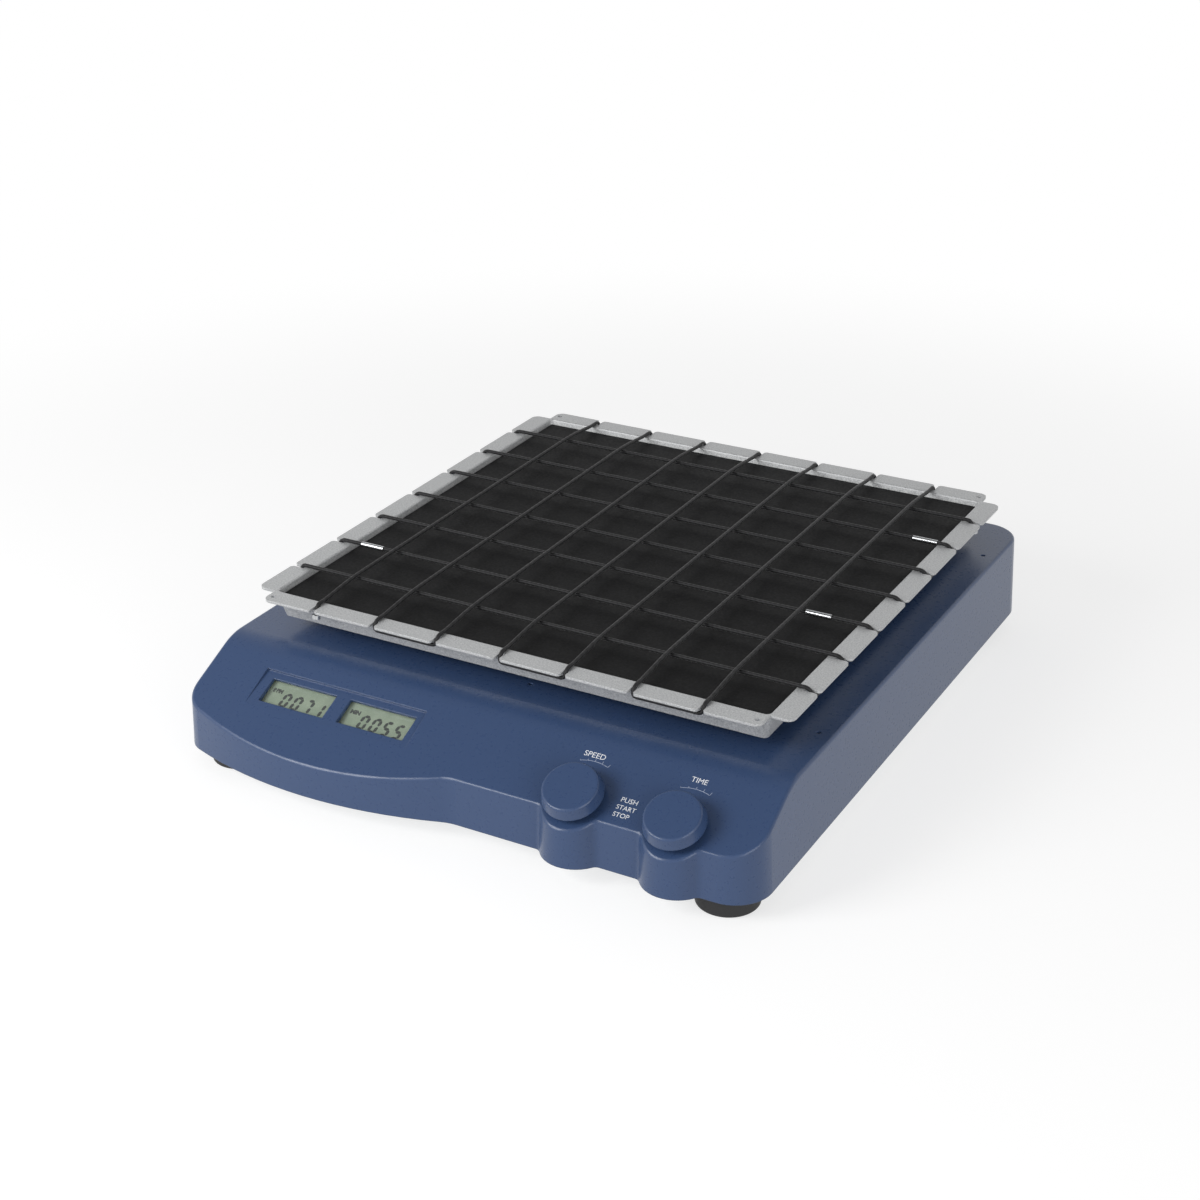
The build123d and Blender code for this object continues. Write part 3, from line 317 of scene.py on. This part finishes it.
def flat_shapes(name, outlines, thickness):
    """A mesh of thin flat shapes, each given by its outline."""
    mesh = bpy.data.meshes.new(name)
    shapes = bmesh.new()
    for outline in outlines:
        low = [shapes.verts.new((x, y, 0.0)) for x, y in outline]
        high = [shapes.verts.new((x, y, thickness)) for x, y in outline]
        shapes.faces.new(high)
        shapes.faces.new(list(reversed(low)))
        for i in range(len(outline)):
            j = (i + 1) % len(outline)
            shapes.faces.new((low[i], low[j], high[j], high[i]))
    shapes.to_mesh(mesh)
    shapes.free()
    return mesh


def set_camera():
    """The camera, placed by its direction and distance from the point that it looks at."""
    azimuth, elevation, roll = map(math.radians, (camera_azimuth, camera_elevation, camera_roll))
    flat = math.cos(elevation)
    back = Vector((math.sin(azimuth) * flat, -math.cos(azimuth) * flat, math.sin(elevation)))
    level = (-back).cross(Vector((0, 0, 1))).normalized()
    upright = level.cross(-back)
    right = math.cos(roll) * level + math.sin(roll) * upright
    up = math.cos(roll) * upright - math.sin(roll) * level
    lens = bpy.data.cameras.new("photo_camera")
    lens.lens = camera_lens
    lens.sensor_width = camera_sensor
    lens.clip_start = 0.01
    camera = bpy.data.objects.new("photo_camera", lens)
    bpy.context.scene.collection.objects.link(camera)
    place = camera_target + camera_distance * back
    camera.matrix_world = Matrix(
        [[right[i], up[i], back[i], place[i]] for i in range(3)] + [[0, 0, 0, 1]]
    )
    bpy.context.scene.camera = camera


def run_end(start_or_end, raised, last):
    """Distances from the middle and heights of a cord at one end of a run, from the run outwards."""
    top = high_height if raised else low_height
    points = []
    if raised:
        points += [(ramp_in - ramp_lead, top), (ramp_in, top), (ramp_out, low_height)]
    points.append((dive_out - bend_lead, low_height))
    points.append((dive_out, low_height))
    points.append((stop_out, stop_height) if last else (under_out, under_height))
    return points


def lacing_points(raised):
    """The cord's route about the tray's middle, as (along the slots, across them, height)."""
    route = []
    for i in range(slot_count):
        place = (i - (slot_count - 1) / 2) * slot_pitch
        start = -1 if i % 2 == 0 else 1
        first = run_end(start, raised, i == 0)
        final = run_end(-start, raised, i == slot_count - 1)
        if i > 0:
            route.append((place - bend_lead, start * under_out, under_height))
        route += [(place, start * out, height) for out, height in reversed(first)]
        route += [(place, -start * out, height) for out, height in final]
        if i < slot_count - 1:
            route.append((place + bend_lead, -start * under_out, under_height))
    return route


def lace(name, raised, material):
    """One elastic cord, laced to and fro through the slots of two facing rims."""
    curve = bpy.data.curves.new(name, "CURVE")
    curve.dimensions = "3D"
    curve.bevel_depth = cord_radius
    curve.bevel_resolution = 3
    curve.resolution_u = 6
    spline = curve.splines.new("NURBS")
    route = lacing_points(raised)
    spline.points.add(len(route) - 1)
    for point, (along, out, height) in zip(spline.points, route):
        x, y = (along, out) if raised else (out, along)
        point.co = (x, y + tray_y, height, 1.0)
    spline.order_u = 3
    spline.use_endpoint_u = True
    piece = add_piece(name, curve, material)
    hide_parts("lengthwise_cord" if raised else "crosswise_cord")
    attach(piece, "platform")
    return piece


def rubber_mat(material):
    """The thick mat: an uneven top, sides that lean out with the tray's, and pockets over its screws."""
    low, high = (Vector(corner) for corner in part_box("rubber_mat"))
    size_x, size_y = high.x - low.x, high.y - low.y
    top_x, top_y = size_x + 2 * mat_flare, size_y + 2 * mat_flare
    middle = (low + high) / 2
    mesh = bpy.data.meshes.new("rubber_mat_sheet")
    mat = bmesh.new()
    bmesh.ops.create_grid(mat, x_segments=mat_cells, y_segments=mat_cells, size=0.5)
    for vert in mat.verts:
        x, y = vert.co.x * top_x, vert.co.y * top_y
        wave = math.sin(x / mat_wave_x) * math.sin(y / mat_wave_y + mat_wave_start)
        wave += 0.5 * math.sin((x + y) / mat_ripple)
        sink = mat_sink * (mat_wave_reach + wave) / (2 * mat_wave_reach)
        vert.co = (middle.x + x, middle.y + y, high.z - sink)
    rim = [edge for edge in mat.edges if edge.is_boundary]
    for edge in rim:
        for vert in edge.verts:
            vert.co.z = high.z
    down = bmesh.ops.extrude_edge_only(mat, edges=rim)["geom"]
    for vert in down:
        if isinstance(vert, bmesh.types.BMVert):
            x, y = vert.co.x - middle.x, vert.co.y - middle.y
            vert.co = (middle.x + x * size_x / top_x, middle.y + y * size_y / top_y, low.z)
    bottom = [e for e in down if isinstance(e, bmesh.types.BMEdge) and e.is_boundary]
    for sx in (-1, 1):
        for sy in (-1, 1):
            spot = Matrix.Translation((sx * post_spread, tray_y + sy * post_spread, low.z))
            size = {"segments": mat_pocket_sides, "radius": mat_pocket_radius}
            ring = bmesh.ops.create_circle(mat, matrix=spot, **size)
            mouth = list({edge for vert in ring["verts"] for edge in vert.link_edges})
            bottom += mouth
            wall = bmesh.ops.extrude_edge_only(mat, edges=mouth)["geom"]
            for vert in wall:
                if isinstance(vert, bmesh.types.BMVert):
                    vert.co.z = low.z + mat_pocket_depth
            end = [e for e in wall if isinstance(e, bmesh.types.BMEdge) and e.is_boundary]
            bmesh.ops.contextual_create(mat, geom=end)
    bmesh.ops.triangle_fill(mat, use_beauty=True, edges=bottom)
    bmesh.ops.recalc_face_normals(mat, faces=mat.faces)
    mat.to_mesh(mesh)
    mat.free()
    for polygon in mesh.polygons:
        polygon.use_smooth = True
    piece = add_piece("rubber_mat_sheet", mesh, material)
    rounding = piece.modifiers.new("rounded_edges", "BEVEL")
    rounding.width = mat_edge_radius
    rounding.segments = 3
    rounding.limit_method = "ANGLE"
    rounding.angle_limit = math.radians(60)
    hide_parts("rubber_mat")
    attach(piece, "platform")


def segment_outline(x, y, length, upright):
    """One bar of a seven-segment digit: a narrow hexagon."""
    half, thick = length / 2 - segment_gap, segment_width / 2
    points = [(-half, 0), (-half + thick, thick), (half - thick, thick)]
    points += [(-p, -q) for p, q in points]
    if upright:
        points = [(-q, p) for p, q in points]
    return [(x + p, y + q) for p, q in points]


def digit_outlines(lit, x):
    """The lit bars of one digit, named a to g clockwise from the top with g in the middle."""
    wide, tall = digit_width - segment_width, (digit_height - segment_width) / 2
    bars = {
        "a": (0, tall, wide, False),
        "b": (wide / 2, tall / 2, tall, True),
        "c": (wide / 2, -tall / 2, tall, True),
        "d": (0, -tall, wide, False),
        "e": (-wide / 2, -tall / 2, tall, True),
        "f": (-wide / 2, tall / 2, tall, True),
        "g": (0, 0, wide, False),
    }
    outlines = []
    for bar in lit:
        px, py, length, upright = bars[bar]
        outline = segment_outline(px, py, length, upright)
        outlines.append([(x + p + digit_slant * q, q) for p, q in outline])
    return outlines


def reading(name, digits, unit, window_x, material):
    """What one display shows: four digits and its unit, lying on the glass."""
    lit = {"0": "abcdef", "1": "bc", "5": "acdfg", "7": "abc"}
    outlines = []
    for i, digit in enumerate(digits):
        outlines += digit_outlines(lit[digit], digit_first_x + i * digit_pitch)
    mesh = flat_shapes(name + "_digits", outlines, ink_thickness)
    piece = add_piece(name + "_digits", mesh, material)
    piece.matrix_world = panel_place(window_x, window_setback + digit_middle, -glass_depth)
    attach(piece, "casing")
    place = (window_x + unit_x, window_setback + unit_setback, -glass_depth)
    label(name + "_unit", unit, place, unit_width, unit_weight, material)


def label(name, words, place, width, weight, material):
    """Words on the panel or a display, as wide as given, with their left end at a place on the panel.

    place is the distance across, up and above the panel, and weight thickens the strokes.
    """
    font = bpy.data.curves.new(name, "FONT")
    font.body = words
    font.size = 1.0
    piece = add_piece(name, font, material)
    bpy.context.view_layer.update()
    font.size = width / piece.dimensions.x
    font.offset = weight * font.size
    font.extrude = ink_thickness / 2
    x, setback, height = place
    piece.matrix_world = panel_place(x, setback, height + ink_thickness / 2)
    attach(piece, "casing")


def dial_scale(name, knob_x, material):
    """A thin arc with growing ticks above a knob, printed on the panel."""
    outlines = []
    start = math.radians(90 + dial_half_angle)
    end = math.radians(90 - dial_half_angle)
    angles = [start + (end - start) * i / dial_steps for i in range(dial_steps + 1)]
    outer_radius = dial_radius + dial_line
    for a, b in zip(angles, angles[1:]):
        corners = ((dial_radius, b), (outer_radius, b), (outer_radius, a), (dial_radius, a))
        outlines.append([(radius * math.cos(angle), radius * math.sin(angle)) for radius, angle in corners])
    for i in range(dial_ticks):
        angle = start + (end - start) * i / (dial_ticks - 1)
        along = Vector((math.cos(angle), math.sin(angle)))
        side = Vector((along.y, -along.x)) * dial_line / 2
        inner = along * outer_radius
        outer = along * (outer_radius + first_tick + i * tick_growth)
        outlines.append([tuple(inner - side), tuple(inner + side), tuple(outer + side), tuple(outer - side)])
    mesh = flat_shapes(name, outlines, print_thickness)
    piece = add_piece(name, mesh, material)
    piece.matrix_world = panel_place(knob_x, knob_setback, print_height)
    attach(piece, "casing")


def panel_print(material, faint):
    """The generic words and dial marks of the two controls.

    Each word has its left end, its distance up the panel and its width in millimetres.
    """
    words = (
        ("speed_word", "SPEED", 66.6, 36.2, 12.8),
        ("time_word", "TIME", 130.4, 38.0, 9.4),
        ("push_word", "PUSH", 99.4, 15.0, 9.6),
        ("start_word", "START", 98.8, 10.3, 11.4),
        ("stop_word", "STOP", 99.0, 5.6, 9.4),
    )
    for name, text, x, setback, width in words:
        place = (x * MM, setback * MM, print_height)
        label(name, text, place, width * MM, 0.0, material)
    dial_scale("speed_scale", speed_knob_x, faint)
    dial_scale("time_scale", time_knob_x, faint)


def dress_frame(frame, materials):
    """Gives each CAD node the material of its slot."""
    slots = {part["node"]: part["material_slot"] for part in frame["record"]["subparts"]}
    for name, node in frame["nodes"].items():
        node.data.materials.clear()
        node.data.materials.append(materials[slots[name]])


def lamp(name, azimuth, elevation, distance, size, power):
    """A square softbox that faces the casing, from an angle round it and above the bench."""
    light = bpy.data.lights.new(name, "AREA")
    light.shape = "SQUARE"
    light.size = size
    light.energy = power
    box = bpy.data.objects.new(name, light)
    bpy.context.scene.collection.objects.link(box)
    around, up = math.radians(azimuth), math.radians(elevation)
    direction = Vector((math.sin(around) * math.cos(up), -math.cos(around) * math.cos(up), math.sin(up)))
    box.location = direction * distance
    box.rotation_euler = direction.to_track_quat("Z", "Y").to_euler()


def seen(tree):
    """1 for the rays that show the surround: straight to the camera, mirrored or through glass."""
    rays = add_node(tree, "ShaderNodeLightPath").outputs
    pair = {0: rays["Is Camera Ray"], 1: rays["Is Glossy Ray"]}
    two = add_node(tree, "ShaderNodeMath", pair, operation="MAXIMUM").outputs[0]
    three = {0: two, 1: rays["Is Transmission Ray"]}
    return add_node(tree, "ShaderNodeMath", three, operation="MAXIMUM").outputs[0]


def paper_floor():
    """White paper: it takes the object's soft shadow and runs out into plain white further off."""
    material = bpy.data.materials.new("white_paper")
    material.use_nodes = True
    tree = material.node_tree
    tree.nodes.clear()
    shown = seen(tree)
    place = add_node(tree, "ShaderNodeTexCoord").outputs["Object"]
    away = add_node(tree, "ShaderNodeVectorMath", {0: place}, operation="LENGTH").outputs["Value"]
    fade_range = {"Value": away, "From Min": paper_near, "From Max": paper_far}
    fade = add_node(tree, "ShaderNodeMapRange", fade_range, interpolation_type="SMOOTHSTEP").outputs[0]
    far = add_node(tree, "ShaderNodeMath", {0: fade, 1: shown}, operation="MULTIPLY").outputs[0]
    tones = {0: shown, 6: linear("#E4E4E4"), 7: linear("#ACACAC")}
    tone = add_node(tree, "ShaderNodeMix", tones, data_type="RGBA").outputs[2]
    paper = add_node(tree, "ShaderNodeBsdfDiffuse", {"Color": tone}).outputs[0]
    veil = add_node(tree, "ShaderNodeMath", {0: shown, 1: paper_veil}, operation="MULTIPLY").outputs[0]
    glow = add_node(tree, "ShaderNodeEmission", {"Strength": veil}).outputs[0]
    near = add_node(tree, "ShaderNodeAddShader", {0: paper, 1: glow}).outputs[0]
    white = add_node(tree, "ShaderNodeEmission", {"Strength": 1.0}).outputs[0]
    whole = add_node(tree, "ShaderNodeMixShader", {0: far, 1: near, 2: white}).outputs[0]
    add_node(tree, "ShaderNodeOutputMaterial", {"Surface": whole})
    return material


def studio():
    """A plain pale floor, soft lamps and a white surround."""
    mesh = bpy.data.meshes.new("floor")
    half = paper_size / 2
    corners = [(sx * half, sy * half, paper_level) for sx, sy in ((-1, -1), (1, -1), (1, 1), (-1, 1))]
    mesh.from_pydata(corners, [], [(0, 1, 2, 3)])
    floor = bpy.data.objects.new("floor", mesh)
    bpy.context.scene.collection.objects.link(floor)
    mesh.materials.append(paper_floor())

    lamp("key_softbox", *key_softbox)
    lamp("right_softbox", *right_softbox)

    world = bpy.data.worlds.new("white_surround")
    bpy.context.scene.world = world
    world.use_nodes = True
    tree = world.node_tree
    tree.nodes.clear()
    direction = add_node(tree, "ShaderNodeTexCoord").outputs["Generated"]
    height = add_node(tree, "ShaderNodeSeparateXYZ", {0: direction}).outputs[2]
    fall = {"Value": height, "From Min": horizon_top, "From Max": ceiling_start}
    fall.update({"To Min": 1.0, "To Max": ceiling_light})
    ceiling = add_node(tree, "ShaderNodeMapRange", fall).outputs[0]
    camera_ray = add_node(tree, "ShaderNodeLightPath").outputs["Is Camera Ray"]
    background = add_node(tree, "ShaderNodeMix", {0: camera_ray, 2: ceiling, 3: 1.0}).outputs[0]
    strength = add_node(tree, "ShaderNodeMix", {0: seen(tree), 2: room_light, 3: background}).outputs[0]
    glow = add_node(tree, "ShaderNodeBackground", {"Color": (1, 1, 1, 1), "Strength": strength})
    add_node(tree, "ShaderNodeOutputWorld", {"Surface": glow.outputs[0]})
    bpy.context.scene.view_settings.view_transform = "Standard"


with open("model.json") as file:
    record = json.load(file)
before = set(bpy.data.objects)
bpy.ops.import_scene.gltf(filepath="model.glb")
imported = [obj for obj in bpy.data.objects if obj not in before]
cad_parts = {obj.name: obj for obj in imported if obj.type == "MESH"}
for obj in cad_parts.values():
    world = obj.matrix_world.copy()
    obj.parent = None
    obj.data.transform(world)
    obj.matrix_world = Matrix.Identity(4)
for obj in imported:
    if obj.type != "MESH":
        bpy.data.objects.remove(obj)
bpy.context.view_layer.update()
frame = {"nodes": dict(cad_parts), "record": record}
set_camera()
elastic = braided_elastic()
lace("crosswise_lacing", False, elastic)
lace("lengthwise_lacing", True, elastic)
rubber = soft_rubber()
steel = ground_steel()
ink = display_ink()
slot_materials = {
    "casing_blue": moulded_abs(),
    "tray_sheet": blasted_aluminium(),
    "black_rubber": rubber,
    "elastic_cord": elastic,
    "steel": steel,
    "zinc_plate": zinc_plating(),
    "cast_aluminium": cast_alloy(),
    "cast_iron": grey_iron(),
    "bronze": sintered_bronze(),
    "clear_window": clear_acrylic(),
    "display_glass": display_glass(),
    "circuit_board": solder_mask(),
    "black_plastic": moulded_black(),
    "belt_rubber": rubber,
}
dress_frame(frame, slot_materials)
rubber_mat(sponge_rubber())
reading("speed", "0071", "RPM", speed_window_x, ink)
reading("time", "0055", "MIN", time_window_x, ink)
panel_print(screen_print(), thin_print())
studio()
